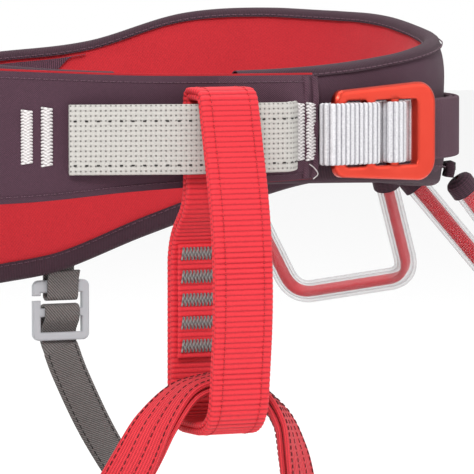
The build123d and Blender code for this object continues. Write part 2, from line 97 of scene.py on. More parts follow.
class Plan:
    """A closed plan curve of tangent arcs, mirrored about its middle, followed by arc length."""

    def __init__(self, arcs, front, centre_x=0.0):
        self.arcs, self.front, self.centre_x = arcs, front, centre_x
        self.half = sum(r * radians(a) for r, a in arcs)

    def at(self, s, out=0.0, z=0.0):
        """Point, direction along and outward direction at signed arc length s from the front.

        A length past the back comes round the other side.
        """
        s = s - 2 * self.half if s > self.half else s
        side = -1 if s < 0 else 1
        left, x, y, turned = abs(s), 0.0, self.front, 0.0
        for radius, turn in self.arcs:
            step = min(radians(turn), left / radius)
            x += radius * (sin(turned + step) - sin(turned))
            y += radius * (cos(turned) - cos(turned + step))
            turned += step
            left -= step * radius
            if left <= 1e-9:
                break
        outward = Vector((side * sin(turned), -cos(turned), 0))
        along = Vector((cos(turned), side * sin(turned), 0))
        return Vector((self.centre_x + side * x, y, z)) + outward * out, along, outward

    def length_to(self, heading):
        """Signed arc length at which the curve has turned by this heading in degrees."""
        left, total = abs(heading), 0.0
        for radius, turn in self.arcs:
            step = min(turn, left)
            total += radius * radians(step)
            left -= step
        return total if heading >= 0 else -total

    def facing(self, heading, out=0.0, z=0.0):
        """The same as at, where the curve has turned by this heading in degrees."""
        return self.at(self.length_to(heading), out, z)


WAIST = Plan(WAIST_ARCS, WAIST_FRONT)
LEG = Plan(LEG_ARCS, LEG_FRONT, LEG_X)


def rounded(points, radii, closed=False, step=0.5):
    """Points about a step apart along a polyline whose corners are rounded."""
    pts = [Vector(p) for p in points]
    n = len(pts)
    path = []

    def line_to(b):
        a = path[-1]
        count = max(1, int((b - a).length / step))
        path.extend(a.lerp(b, (k + 1) / count) for k in range(count))

    corners = range(n) if closed else range(1, n - 1)
    if not closed:
        path.append(pts[0])
    for i in corners:
        before, here, after = pts[i - 1], pts[i], pts[(i + 1) % n]
        back, on = before - here, after - here
        reach = min(radii[i], back.length * 0.49, on.length * 0.49)
        a, b = here + back.normalized() * reach, here + on.normalized() * reach
        if path:
            line_to(a)
        else:
            path.append(a)
        count = max(4, int(reach * 2 / step))
        for k in range(1, count + 1):
            t = k / count
            path.append(a * (1 - t) ** 2 + here * 2 * t * (1 - t) + b * t * t)
    if closed:
        line_to(path[0].copy())
        path.pop()
    else:
        line_to(pts[-1])
    return path


def flowing(points, step=0.5):
    """Points about a step apart along a smooth curve through points."""
    pts = [Vector(p) for p in points]
    run = [pts[0] * 2 - pts[1], *pts, pts[-1] * 2 - pts[-2]]
    path = []
    for p0, p1, p2, p3 in zip(run, run[1:], run[2:], run[3:]):
        count = max(2, int((p2 - p1).length / step))
        for k in range(count):
            t = k / count
            path.append(0.5 * (2 * p1 + (p2 - p0) * t + (2 * p0 - 5 * p1 + 4 * p2 - p3) * t * t
                               + (3 * p1 - p0 - 3 * p2 + p3) * t ** 3))
    return path + [pts[-1]]


def tangents(path, closed=False):
    """Direction of travel at each point of a path."""
    n = len(path)
    found = []
    for i in range(n):
        before = path[i - 1] if closed or i else path[0]
        after = path[(i + 1) % n] if closed or i + 1 < n else path[-1]
        found.append((after - before).normalized())
    return found


def shifted(path, across, amount, closed=False):
    """Path moved sideways by an amount, square to its own direction."""
    return [p + across.cross(way).normalized() * amount for p, way in zip(path, tangents(path, closed))]


def span(a, b, step):
    """Evenly spaced values from a to b, about a step apart."""
    count = max(2, int(abs(b - a) / step) + 1)
    return [a + (b - a) * k / (count - 1) for k in range(count)]


# -------- meshes
def linked(name, data):
    """New object of the scene, with this data."""
    obj = bpy.data.objects.new(name, data)
    bpy.context.collection.objects.link(obj)
    return obj


def mesh_object(name, verts, faces, uvs, mats, face_mats=None, sharp=40):
    """Mesh piece from millimetre vertices, with one UV pair per face corner, in metres."""
    mesh = bpy.data.meshes.new(name)
    mesh.from_pydata([tuple(Vector(v) * MM) for v in verts], [], faces)
    layer = mesh.uv_layers.new(name="UVMap")
    layer.data.foreach_set("uv", [c for face in uvs for pair in face for c in pair])
    for mat in mats:
        mesh.materials.append(mat)
    if face_mats:
        mesh.polygons.foreach_set("material_index", face_mats)
    mesh.polygons.foreach_set("use_smooth", [True] * len(mesh.polygons))
    mesh.update()
    mesh.set_sharp_from_angle(angle=radians(sharp))
    return linked(name, mesh)


def skin(name, rings, mats, closed=False, pick=None):
    """Closed surface over rings of points; the ends are capped unless it closes on itself."""
    count, around = len(rings), len(rings[0])
    verts = [p for ring in rings for p in ring]
    along = [0.0]
    for a, b in zip(rings, rings[1:]):
        along.append(along[-1] + (sum(b, Vector()) - sum(a, Vector())).length / around)
    along.append(along[-1] + (rings[0][0] - rings[-1][0]).length)
    across = [0.0]
    for a, b in zip(rings[0], rings[0][1:] + rings[0][:1]):
        across.append(across[-1] + (b - a).length)
    faces, uvs, chosen = [], [], []
    for i in range(count if closed else count - 1):
        i2 = (i + 1) % count
        u1, u2 = along[i] * MM, along[i + 1] * MM
        for j in range(around):
            j2 = (j + 1) % around
            faces.append((i * around + j, i * around + j2, i2 * around + j2, i2 * around + j))
            v1, v2 = across[j] * MM, across[j + 1] * MM
            uvs.append(((u1, v1), (u1, v2), (u2, v2), (u2, v1)))
            chosen.append(pick(i, j) if pick else 0)
    if not closed:
        for i, order in ((0, -1), (count - 1, 1)):
            ring = [i * around + j for j in range(around)][::order]
            faces.append(tuple(ring))
            uvs.append(tuple((verts[k].x * MM, verts[k].z * MM) for k in ring))
            chosen.append(0)
    return tidy_normals(mesh_object(name, verts, faces, uvs, mats, chosen if pick else None))


def tidy_normals(obj):
    """Turn every face of a closed mesh outward."""
    bm = bmesh.new()
    bm.from_mesh(obj.data)
    bmesh.ops.recalc_face_normals(bm, faces=bm.faces)
    bm.to_mesh(obj.data)
    bm.free()
    return obj


def strap_section(width, thick, edge, flats, steps=3):
    """Rounded rectangle as (across, through) points, finely divided along its flats."""
    edge = min(thick / 2 * 0.98, edge or thick / 2)
    w, t = width / 2, thick / 2
    turns = [pi / 2 * k / steps for k in range(1, steps)]
    half = [(-w + edge + (2 * w - 2 * edge) * k / flats, t) for k in range(flats + 1)]
    half += [(w - edge + edge * sin(a), t - edge + edge * cos(a)) for a in turns]
    half += [(w, 0)] if edge > t * 0.9 else [(w, t - edge), (w, edge - t)]
    half += [(w - edge + edge * cos(a), edge - t - edge * sin(a)) for a in turns]
    return half + [(-a, -b) for a, b in half]


def strap(name, path, across, width, thick, mats, closed=False, ribs=None, shape=None, pick=None,
          flats=10, edge=None):
    """Strap along a path. across is its width direction, or a function of the share travelled.

    ribs is (pitch, height) of woven ribs across the strap; shape(a, b) may move a section point.
    """
    section = strap_section(width, thick, edge, flats)
    rings, travelled = [], 0.0
    for i, (p, tangent) in enumerate(zip(path, tangents(path, closed))):
        if i:
            travelled += (p - path[i - 1]).length
        side = across(i / (len(path) - 1)) if callable(across) else across
        side = (side - tangent * side.dot(tangent)).normalized()
        normal = side.cross(tangent).normalized()
        bulge = ribs[1] * (abs(sin(pi * travelled / ribs[0])) - 0.5) if ribs else 0.0
        ring = []
        for a, b in section:
            out, through = a, b
            if abs(b) > thick * 0.3:
                through += bulge * copysign(1, b)
            if abs(a) > width / 2 - thick / 2:
                out += bulge * 0.5 * copysign(1, a)
            if shape:
                out, through = shape(out, through)
            ring.append(p + side * out + normal * through)
        rings.append(ring)
    return skin(name, rings, mats, closed, pick)


def capsules(name, segments, radius, mats, sides=6):
    """Threads: a small round-ended rod for each (start, end) segment."""
    verts, faces, uvs = [], [], []
    for a, b in segments:
        a, b = Vector(a), Vector(b)
        d = (b - a).normalized()
        side = d.orthogonal().normalized()
        other = d.cross(side)
        base = len(verts)
        for at, r in ((a - d * radius * 0.6, 0.45), (a, 1.0), (b, 1.0), (b + d * radius * 0.6, 0.45)):
            for k in range(sides):
                t = 2 * pi * k / sides
                verts.append(at + (side * cos(t) + other * sin(t)) * radius * r)
        for ring in range(3):
            for k in range(sides):
                k2 = (k + 1) % sides
                q = base + ring * sides
                faces.append((q + k, q + k2, q + sides + k2, q + sides + k))
                uvs.append(((0, 0), (0, 0.001), (0.001, 0.001), (0.001, 0)))
        faces.append(tuple(base + k for k in range(sides))[::-1])
        faces.append(tuple(base + 3 * sides + k for k in range(sides)))
        uvs += [((0, 0),) * sides] * 2
    return tidy_normals(mesh_object(name, verts, faces, uvs, mats, sharp=60))


def stitches(path, pitch, length, lifts=None):
    """Segments of a running stitch along a path, moved off it by the lift at each point."""
    segments, travelled, due = [], 0.0, pitch * 0.5
    for i, (a, b) in enumerate(zip(path, path[1:])):
        d = (b - a).length
        while travelled + d >= due and d > 0:
            middle = a.lerp(b, (due - travelled) / d) + (lifts[i] if lifts else Vector())
            reach = (b - a).normalized() * length / 2
            segments.append((middle - reach, middle + reach))
            due += pitch
        travelled += d
    return segments


def zigzag(origin, along, across, length, width, turns):
    """Segments of a dense bartack: a zigzag of slanted threads."""
    side = across * width / 2
    segments = []
    for k in range(turns):
        a, b, c = (origin + along * (length * ((k + part) / turns - 0.5)) for part in (0, 0.5, 1))
        segments.append((a - side, b + side))
        segments.append((b + side, c - side))
    return segments


# -------- materials
class Nodes:
    """Short way to build the node tree of a material or a world."""

    def __init__(self, owner, shader="Principled BSDF"):
        owner.use_nodes = True
        self.owner = owner
        self.tree = owner.node_tree
        self.shader = self.tree.nodes[shader]

    def feed(self, socket, value):
        """Link an output to a socket, or give the socket a plain value."""
        if hasattr(value, "is_output"):
            self.tree.links.new(value, socket)
        else:
            socket.default_value = value

    def add(self, kind, *values, **settings):
        """New shader node with these settings, its first sockets fed with the values."""
        node = self.tree.nodes.new("ShaderNode" + kind)
        for key, value in settings.items():
            setattr(node, key, value)
        for socket, value in zip(node.inputs, values):
            self.feed(socket, value)
        return node

    def math(self, operation, a, b=0.0):
        return self.add("Math", a, b, operation=operation).outputs[0]

    def times(self, a, b):
        return self.math("MULTIPLY", a, b)

    def plus(self, a, b):
        return self.math("ADD", a, b)

    def mix(self, share, a, b):
        """Colour between a and b."""
        node = self.add("Mix", share, data_type="RGBA")
        self.feed(node.inputs[6], a)
        self.feed(node.inputs[7], b)
        return node.outputs[2]

    def speckle(self, scale, detail=2):
        """Noise fixed to the piece, finer for a larger scale."""
        node = self.add("TexNoise", self.add("TexCoord").outputs["Object"])
        self.feed(node.inputs["Scale"], scale)
        self.feed(node.inputs["Detail"], detail)
        return node.outputs[0]

    def finish(self, inputs, bump_height, distance):
        """Feed the shader's inputs, and bump the surface by a height of up to a distance in metres."""
        bump = self.add("Bump")
        self.feed(bump.inputs["Strength"], 1.0)
        self.feed(bump.inputs["Distance"], distance)
        self.feed(bump.inputs["Height"], bump_height)
        for name, value in {**inputs, "Normal": bump.outputs[0]}.items():
            self.feed(self.shader.inputs[name], value)
        return bump


def rgba(hex_colour):
    """Linear colour from a hex string."""
    parts = [int(hex_colour[i:i + 2], 16) / 255 for i in (1, 3, 5)]
    return (*[c / 12.92 if c <= 0.04045 else ((c + 0.055) / 1.055) ** 2.4 for c in parts], 1.0)


def fabric(name, light, dark, pattern, pitch, depth=0.00025, rough=0.85, sheen=0.04, wear=0.08,
           faded=None, cord=None):
    """Woven material: pattern is plain, twill, rib, rows or dots, pitch in millimetres.

    depth is the height of its bumps in metres, and faded the colour of its worn places. cord is the
    pitch of the ribs across a strap, whose valleys take the dark colour as painted shade. The dark
    colour also fills the low places of the weave, as painted shade, and the light one its raised threads.
    """
    n = Nodes(bpy.data.materials.new(name))
    light, dark = rgba(light), rgba(dark)
    faded = rgba(faded) if faded else (*[min(1, c * 1.3 + 0.01) for c in light[:3]], 1)
    split = n.add("SeparateXYZ", n.add("UVMap").outputs[0]).outputs
    u, v = split[0], split[1]
    turn = 2 * pi / (pitch * MM)

    def wave(coordinate, closer=1.0):
        return n.math("SINE", n.times(coordinate, turn * closer))

    if pattern == "plain":
        height = n.times(wave(u), wave(v))
    elif pattern == "twill":
        height = wave(n.plus(u, v))
    elif pattern == "rib":
        height = n.plus(wave(u), n.times(wave(v, 1.6), 0.5))
    elif pattern == "rows":
        height = n.plus(n.times(wave(v), 0.8), n.times(wave(u, 1.7), 0.35))
    else:
        hole = n.times(n.math("MAXIMUM", wave(u), 0.0), n.math("MAXIMUM", wave(v), 0.0))
        ground = n.math("SUBTRACT", 0.8, n.times(wave(v), 0.18))
        height = n.math("SUBTRACT", ground, n.times(n.math("POWER", hole, 1.6), 2.2))
    raised = n.plus(n.times(height, 0.5), 0.5)
    # The rib valleys across the strap get the dark colour: painted shade.
    if cord:
        ridge = n.math("ABSOLUTE", n.math("SINE", n.times(u, pi / (cord * MM))))
        ridge = n.times(n.math("POWER", ridge, 0.55), 1.1)
        raised = n.math("SUBTRACT", n.plus(n.times(raised, 0.35), ridge), 0.4)
    fuzz = n.plus(raised, n.times(n.math("SUBTRACT", n.speckle(1400), 0.5), 0.7))
    clean = n.add("Clamp", fuzz).outputs[0]
    worn = n.times(n.math("SUBTRACT", n.speckle(45, 3), 0.35), wear * 2)
    # The colour runs from dark in the weave's low places to light on its raised threads, which is painted
    # shade; worn places take the faded colour.
    n.finish({"Base Color": n.mix(worn, n.mix(clean, dark, light), faded),
              "Roughness": n.plus(rough - 0.08, n.times(clean, 0.12)), "Sheen Weight": sheen,
              "Sheen Roughness": 0.5, "Specular IOR Level": 0.3}, fuzz, depth)
    return n.owner


def thread(name, light, dark, rough=0.6):
    return fabric(name, light, dark, "rib", 0.5, 0.00005, rough)


def hard(name, colour, rough, metallic=0.0, coat=0.0, grain=900, depth=0.00002, worn=None, soften=None):
    """Metal or plastic with fine surface grain, slightly worn colour and softened edges."""
    n = Nodes(bpy.data.materials.new(name))
    colour = rgba(colour)
    worn = rgba(worn) if worn else (*[c * 0.85 for c in colour[:3]], 1)
    slow = n.speckle(60)
    bump = n.finish({"Base Color": n.mix(n.times(slow, 0.35), colour, worn),
                     "Roughness": n.plus(rough - 0.05, n.times(slow, 0.1)), "Metallic": metallic,
                     "Coat Weight": coat, "Coat Roughness": 0.15}, n.speckle(grain), depth)
    if soften:
        edge = n.add("Bevel", soften * MM, samples=6)
        n.feed(bump.inputs["Normal"], edge.outputs[0])
    return n.owner


def clear_plastic(name):
    """Clear flexible tube: see-through in the middle, hazy grey at its edges."""
    n = Nodes(bpy.data.materials.new(name))
    haze = n.speckle(90)
    facing = n.math("POWER", n.add("LayerWeight").outputs["Facing"], 1.8)
    n.finish({"Base Color": n.mix(haze, rgba("#b4b6b8"), rgba("#9b9ea1")),
              "Roughness": n.plus(0.12, n.times(haze, 0.1)), "Alpha": n.plus(0.05, n.times(facing, 0.65))},
             haze, 0.000002)
    return n.owner


# The second colour of each fabric and thread below is painted shade for the low places of its weave, and for
# the rib valleys of the webbing.
PLUM = fabric("plum_plain", "#4f3140", "#2c1823", "plain", 0.9, 0.00012, 0.8)
PLUM_TWILL = fabric("plum_twill", "#5f3d4d", "#2a1620", "twill", 1.05, 0.0002, 0.78)
RED_LINING = fabric("red_lining", "#c9272f", "#951522", "plain", 0.7, 0.0001, 0.85, 0.08)
BIND_PLUM = fabric("plum_binding", "#452a37", "#27151e", "rib", 0.8, 0.00012, 0.8)
RED_WEB = fabric("red_webbing", "#da2b35", "#a01322", "rib", 0.55, 0.00015, 0.6, 0.05, 0.06, cord=2.1)
WHITE_WEB = fabric("white_webbing", "#dcdbde", "#7f7d84", "rib", 0.6, 0.0003, 0.7, 0.03, 0.03, "#e6e5e8", 2.4)
GREY_STRAP = fabric("grey_strap", "#b3b0ab", "#63605d", "dots", 2.0, 0.0003, 0.75, 0.03, 0.05, "#c2bfba")
ELASTIC = fabric("elastic", "#7b7775", "#423f3e", "twill", 1.35, 0.0002, 0.8)
RED_FOLD = fabric("red_folded", "#d9303a", "#9c1320", "rows", 1.15, 0.0002, 0.6, 0.05)
RED_TAPE = fabric("red_tape", "#e3202f", "#960c1b", "rib", 0.9, 0.0001, 0.35, 0.02)
GREY_THREAD = thread("grey_thread", "#8d8b8a", "#565453")
WHITE_THREAD = thread("white_thread", "#e2dedd", "#a09a9a")
DARK_THREAD = thread("dark_thread", "#2d2a29", "#171514")
RED_THREAD = thread("red_thread", "#d3242e", "#7d0c17", 0.5)
DARK_RED = thread("dark_red_thread", "#6e0f1a", "#3d070e")
PLUM_THREAD = thread("plum_thread", "#634352", "#3a2430")
FOAM = hard("foam", "#55565a", 0.95, grain=1500, depth=0.0002)
ANODISED = hard("anodised_red", "#cf3d2e", 0.3, 1.0, 0.1, 1600, 0.000004, "#dc5a48", 2.2)
STEEL = hard("bar_steel", "#b9bcc0", 0.3, 1.0, 0.0, 1400, 0.00001, soften=1.0)
HOOK_GREY = hard("hook_plastic", "#aeb2b6", 0.42, 0.0, 0.1, 900, 0.00003, soften=1.3)
CLEAR = clear_plastic("clear_tube")


# -------- bookkeeping
def place(piece, body, nodes=(), blend=None):
    """Let a piece move with a body, and hide the CAD nodes it stands for.

    blend is (other body, start, end); when it is given, the piece's transform is only baked in place and it
    is attached to no body.
    """
    if blend:
        other, start, end = blend
        tuple(Vector(start) * MM)
        tuple(Vector(end) * MM)
        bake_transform(piece)
    else:
        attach(piece, body)
    if nodes:
        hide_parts(*nodes)
    return piece


def sew(name, segments, radius, mat, body="waist", nodes=()):
    """Threads of one material, placed."""
    place(capsules(name, segments, radius, [mat]), body, nodes)


def mirrored(piece):
    """Right-hand mirror image of a left piece, about the middle plane."""
    mesh = piece.data.copy()
    mesh.transform(Matrix.Scale(-1, 4, (1, 0, 0)))
    mesh.flip_normals()
    return linked(piece.name.replace("left", "right"), mesh)


def two_sides(piece, body, nodes=(), blend=None):
    """Place a left piece and its mirror image, with what is said of the left turned to each side."""
    pair = piece, mirrored(piece)
    for obj, side, flip in zip(pair, ("left", "right"), (1, -1)):
        named = [node.replace("left", side) for node in nodes]
        turned = None
        if blend:
            turned = (blend[0].replace("left", side), *[(x * flip, y, z) for x, y, z in blend[1:]])
        place(obj, body.replace("left", side), named, turned)
    return pair


def wrinkle(p, size, height, seed=0):
    """Soft fabric unevenness at a point, in millimetres."""
    return height * noise.noise(p / size + Vector((seed * 7.3, seed * 3.1, seed)))


# -------- waist belt pad
def crown(h, power=5):
    """1 in the middle of a pad's height, falling to 0 at its edges."""
    return 1 - abs(2 * h - 1) ** power


def pad_layer(name, plan, stations, edges, outer, inner, low_by, high_by, mats, rows=24, pick=None):
    """Closed layer of a pad between two offset profiles.

    Each profile is a function of the share of the height, the point and the arc length.
    """
    rings = []
    for s in stations:
        foot = plan.at(s, PROBE_OUT)[0]
        low, top = edges(foot)
        low, top = low + low_by, top - high_by
        ring = []
        for profile, shares in ((outer, range(rows + 1)), (inner, range(rows, -1, -1))):
            for k in shares:
                h = k / rows
                z = low + (top - low) * h
                ring.append(plan.at(s, profile(h, Vector((foot.x, foot.y, z)), s), z)[0])
        rings.append(ring)
    return skin(name, rings, mats, pick=pick)


QUARTERS = (0, 0.25, 0.5, 0.75, 1)


def bound_edge(name, plan, stations, edges, top_side, tall, outer, inner, thick=0.9, stand=0.7):
    """Binding tape folded over one edge of a pad, and standing off its two faces."""
    rings = []
    for s in stations:
        foot = plan.at(s, PROBE_OUT)[0]
        low, top = edges(foot)
        way, rim = (1, top) if top_side else (-1, low)
        probe = Vector((foot.x, foot.y, rim))
        o, i = outer(0.02, probe, s) + stand, inner(0.02, probe, s) - stand
        middle, half = (o + i) / 2, (o - i) / 2
        bent = half * 0.85
        ring = []
        lean = 0.75 + 0.45 * wrinkle(probe, 9, 1.0, 3)
        for skin_out in (0.0, thick):
            wide, deep = half - skin_out, bent - skin_out * 0.6
            wall = [(o - skin_out + lean * (1 - share), tall - (tall - bent) * share) for share in QUARTERS]
            wall += [(middle + wide * cos(pi * k / 9), bent - deep * sin(pi * k / 9)) for k in range(1, 9)]
            wall += [(i + skin_out - lean * share, bent + (tall - bent) * share) for share in QUARTERS]
            for out, down in wall[::-1] if skin_out else wall:
                ring.append(plan.at(s, out, rim - way * down)[0])
        rings.append(ring)
    return skin(name, rings, [BIND_PLUM])


def edge_stitches(plan, stations, edges, profile, away, down, top_side, pitch=3.2, length=2.3):
    """Running stitch beside an edge, on a pad's profile; away is how far it stands off, outward."""
    path, lifts = [], []
    for s in stations:
        foot = plan.at(s, PROBE_OUT)[0]
        low, top = edges(foot)
        z = top - down if top_side else low + down
        h = (z - low) / (top - low)
        p, _, outward = plan.at(s, profile(h, Vector((foot.x, foot.y, z)), s) + away, z)
        path.append(p)
        lifts.append(outward * copysign(0.1, away))
    return stitches(path, pitch, length, lifts)


def belt_edges(p):
    if p.y < 25:
        return smooth(FRONT_LOW, p.y), smooth(FRONT_TOP, p.y)
    return smooth(REAR_LOW, abs(p.x)), smooth(REAR_TOP, abs(p.x))


FRONT_R = WAIST_ARCS[0][0]
BELT_START = FRONT_R * asin(PAD_TIPS[1] / FRONT_R)
BELT_END = 2 * WAIST.half + FRONT_R * asin(PAD_TIPS[0] / FRONT_R)
BELT = span(BELT_START, BELT_END, 2.4)
BELT_SHAPE = (WAIST, BELT, belt_edges)


def tip_share(s, stations, reach):
    """0 at the tips of a pad, rising to 1 within a reach of them."""
    d = min(s - stations[0], stations[-1] - s)
    return 1 - max(0.0, 1 - d / reach) ** 2.5


def beside(profile, amount):
    """Offset profile moved outward by an amount."""
    return lambda h, p, s: profile(h, p, s) + amount


def belt_outer(h, p, s):
    return 7.3 + 2.7 * crown(h) * tip_share(s, BELT, 14) + wrinkle(p, 26, 0.9) + wrinkle(p, 8, 0.25, 2)


def belt_inner(h, p, s):
    return 1.7 - 1.7 * crown(h) * tip_share(s, BELT, 14) - wrinkle(p, 22, 0.8, 5) - wrinkle(p, 7, 0.2, 4)


belt_shell = pad_layer("waist_shell_cloth", *BELT_SHAPE, belt_outer, beside(belt_outer, -1.2), 3, 3, [PLUM])
place(belt_shell, "waist", ["waist_shell"])
place(pad_layer("waist_lining_cloth", *BELT_SHAPE, beside(belt_inner, 1.1), belt_inner, 3, 3, [RED_LINING]),
      "waist", ["waist_lining"])
place(pad_layer("waist_foam_core", WAIST, span(BELT_START + 2, BELT_END - 2, 5), belt_edges,
                lambda h, p, s: 4.8 + 0.5 * crown(h), lambda h, p, s: 3.6 - 0.5 * crown(h), 5, 5, [FOAM],
                rows=6), "waist", ["waist_foam"])
for side, *how in (("top", True, 4.0, belt_outer, belt_inner, 0.7, 0.5),
                   ("bottom", False, 9, belt_outer, belt_inner)):
    place(bound_edge(f"waist_binding_{side}_tape", *BELT_SHAPE, *how), "waist",
          [f"waist_binding_{side}"])
seams = []
for top_side, down in ((True, 3.1), (False, 7.8)):
    for profile, away in ((belt_outer, 0.75), (belt_inner, -0.75)):
        seams += edge_stitches(WAIST, BELT[2:-2], belt_edges, profile, away, down, top_side)
sew("waist_binding_stitches", seams, 0.28, PLUM_THREAD)

patch_span = span(WAIST.half - 42, WAIST.half + 42, 2)
lumbar = pad_layer("lumbar_patch_cloth", WAIST, patch_span,
                   lambda p: (min(-11 + abs(p.x), smooth(REAR_TOP, abs(p.x)) - 5.6),
                              min(36, smooth(REAR_TOP, abs(p.x)) - 5.4)),
                   lambda h, p, s: belt_inner(h * 0.6 + 0.2, p, s) + 0.4,
                   lambda h, p, s: belt_inner(h * 0.6 + 0.2, p, s) - 0.9, 0, 0, [PLUM_TWILL], rows=14)
place(lumbar, "waist", ["lumbar_patch"])


# -------- front band
def band_edges(p):
    return smooth(BAND_LOW, p.x), smooth(BAND_TOP, p.x)


def arc_where(reached, start, step):
    """Signed arc length where a test on the belt's inner curve first holds."""
    s = start
    while not reached(WAIST.at(s)[0]):
        s += step
    return s


BAND_START = arc_where(lambda p: p.y > -65.5, -40, -0.5)
BAND_STOP = arc_where(lambda p: p.x >= BAND_END - 2.2, 10, 0.25)
BAND = span(BAND_START, BAND_STOP, 1.6)


def band_outer(h, p, s):
    near = max(0.0, 1 - (BAND_STOP - s) / 10)
    return 12.9 + 1.5 * crown(h, 7) + wrinkle(p, 24, 0.55, 6) + wrinkle(p, 9, 0.18, 7) - 0.6 * near


sleeve = pad_layer("front_band_sleeve_cloth", WAIST, BAND, band_edges, band_outer,
                   lambda h, p, s: 11.4, 0, 0, [PLUM, PLUM_TWILL], rows=26,
                   pick=lambda i, j: int(BAND[i] > 3))
place(sleeve, "waist", ["front_band_sleeve"])
band_red = pad_layer("front_band_lining_cloth", WAIST, BAND, band_edges, lambda h, p, s: 11.35,
                     lambda h, p, s: 10.35, -0.2, -0.8, [RED_LINING], rows=10)
place(band_red, "waist", ["front_band_lining"])
for hem, back, lift in (("outer", 0.6, 0.9), ("inner", 4.6, 0.55)):
    p, along, outward = WAIST.at(BAND_STOP - back, 13.4 + lift)
    low, top = band_edges(p)
    line = []
    for z in span(low + 0.6, top - 0.6, 0.8):
        sag = 0.9 * (1 - crown((z - low) / (top - low), 7))
        line.append(p + UP * z + outward * (0.35 * sin(z * 0.5 + back) - sag))
    place(strap(f"band_hem_{hem}", line, along, 3.0, 1.6, [PLUM_TWILL], flats=3), "waist")
band_seams = []
for top_side in (True, False):
    band_seams += edge_stitches(WAIST, BAND[1:-4], band_edges, band_outer, 0.05, 2.6, top_side, 3.0, 2.2)
sew("front_band_stitches", band_seams, 0.26, PLUM_THREAD)


# -------- tie-in strap
def waist_at(heading, out, z=0.0):
    return WAIST.facing(heading, out, z)[0]


TIE_POINTS = [waist_at(-11.8, 16.5), waist_at(-2.7, 25.3), waist_at(5.8, 26.3), waist_at(7.4, 16.5)]
tie_path = rounded(TIE_POINTS, [4] * 4, step=0.6)
place(strap("tie_in_strap_front", shifted(tie_path, UP, -1.05), UP, 28, 1.95, [GREY_STRAP],
            ribs=(2.6, 0.07), flats=16), "waist", ["tie_in_strap"])
place(strap("tie_in_strap_back", shifted(tie_path, UP, 1.05), UP, 27.6, 1.95, [GREY_STRAP], flats=16),
      "waist")
tie_dots = []
for z in (7.4, -10.2):
    tie_dots += stitches([p + UP * z for p in shifted(tie_path, UP, -2.12)], 4.6, 0.9)
sew("tie_in_strap_stitches", tie_dots, 0.36, DARK_THREAD)


# -------- bartacks on the band
tacks = []
for heading, tall in ((-15.1, 21), (-13.5, 23), (8.3, 23), (9.4, 23)):
    p, along, _ = WAIST.facing(heading, 14.75, 1.2)
    tacks += zigzag(p, UP, along, tall, 4.2, 17)
sew("front_bartack_threads", tacks, 0.52, WHITE_THREAD, nodes=["front_bartacks"])
loose = flowing([waist_at(9.2, 15.2, -12), waist_at(9.6, 15.6, -13.5), waist_at(9.9, 16.2, -16),
                 waist_at(9.5, 15.8, -18)], step=0.4)
sew("loose_thread", list(zip(loose, loose[1:])), 0.22, WHITE_THREAD)


# -------- buckles and their webbing
GAP = 0.35  # between a buckle's bar and the webbing round it


def buckle_frame(plan, heading, out, touch, z):
    """Function from (along, outward) to a point on a buckle's section at rest."""
    p, along, outward = plan.facing(heading, out, z)
    origin = p - along * touch

    def at(s, n):
        return origin + along * s + outward * n
    return at


def buckle_webbing(at, k, thick, web, wide, names, mats, bight_from=(), bight_to=()):
    """Anchor loop round the left bar, and the strap round the middle bar.

    The buckle is k times the size of the waist's. Far from the bars the strap takes the last material.
    """
    clear = thick / 2 + GAP
    mid = clear + web / 2
    left, right = -5.5 * k + web / 2, 21.3 * k + web / 2
    loop = rounded([at(left, -mid), at(right, -mid), at(right, mid), at(left, mid)], [mid * 0.98] * 4,
                   closed=True)
    anchor = strap(names[0], loop, UP, wide, web, mats[:1], closed=True, ribs=(2.4, 0.42), flats=12)
    low, tail = -(clear + 1.5 * web + GAP), -(clear + 0.5 * web)
    top, near = thick * 0.36 + 0.4 + web / 2, 30 * k - 0.5 - web / 2
    turns = [at(57 * k, low), at(near, low), at(near, top), at(35.4 * k, top), at(41.2 * k, tail),
             at(57 * k, tail)]
    radii = [3, web * 1.15, web * 1.15, web * 1.3, web * 1.3, 3]
    path = rounded([*bight_from, *turns, *bight_to],
                   [3] * len(bight_from) + radii + [3] * len(bight_to), step=0.6)
    near_bar = [(p - at(30 * k, 0)).length < 22 for p in path]
    bight = strap(names[1], path, UP, wide, web, mats, ribs=(2.4, 0.36), flats=12,
                  pick=lambda i, j: 0 if near_bar[i] else len(mats) - 1)
    return anchor, bight


def side_run(start, out, end_heading):
    """Points along the belt's offset, from where a straight line from start touches it."""
    heading = 15.0
    while heading < 80:
        p, _, outward = WAIST.facing(heading, out)
        if (p - start).dot(outward) >= 0:
            break
        heading += 0.5
    return [WAIST.at(s, out)[0] for s in span(WAIST.length_to(heading), WAIST.length_to(end_heading), 3)]


def keeper(name, middle, half_deep, half_tall, corner, wide, thick, flats, ribs=None):
    """Closed elastic band round a strap; middle is a point, its direction along and outward."""
    p, along, outward = middle
    corners = [p + outward * half_deep * a + UP * half_tall * b
               for a, b in ((-1, -1), (1, -1), (1, 1), (-1, 1))]
    return strap(name, rounded(corners, [corner] * 4, closed=True), along, wide, thick, [ELASTIC],
                 closed=True, ribs=ribs, flats=flats)


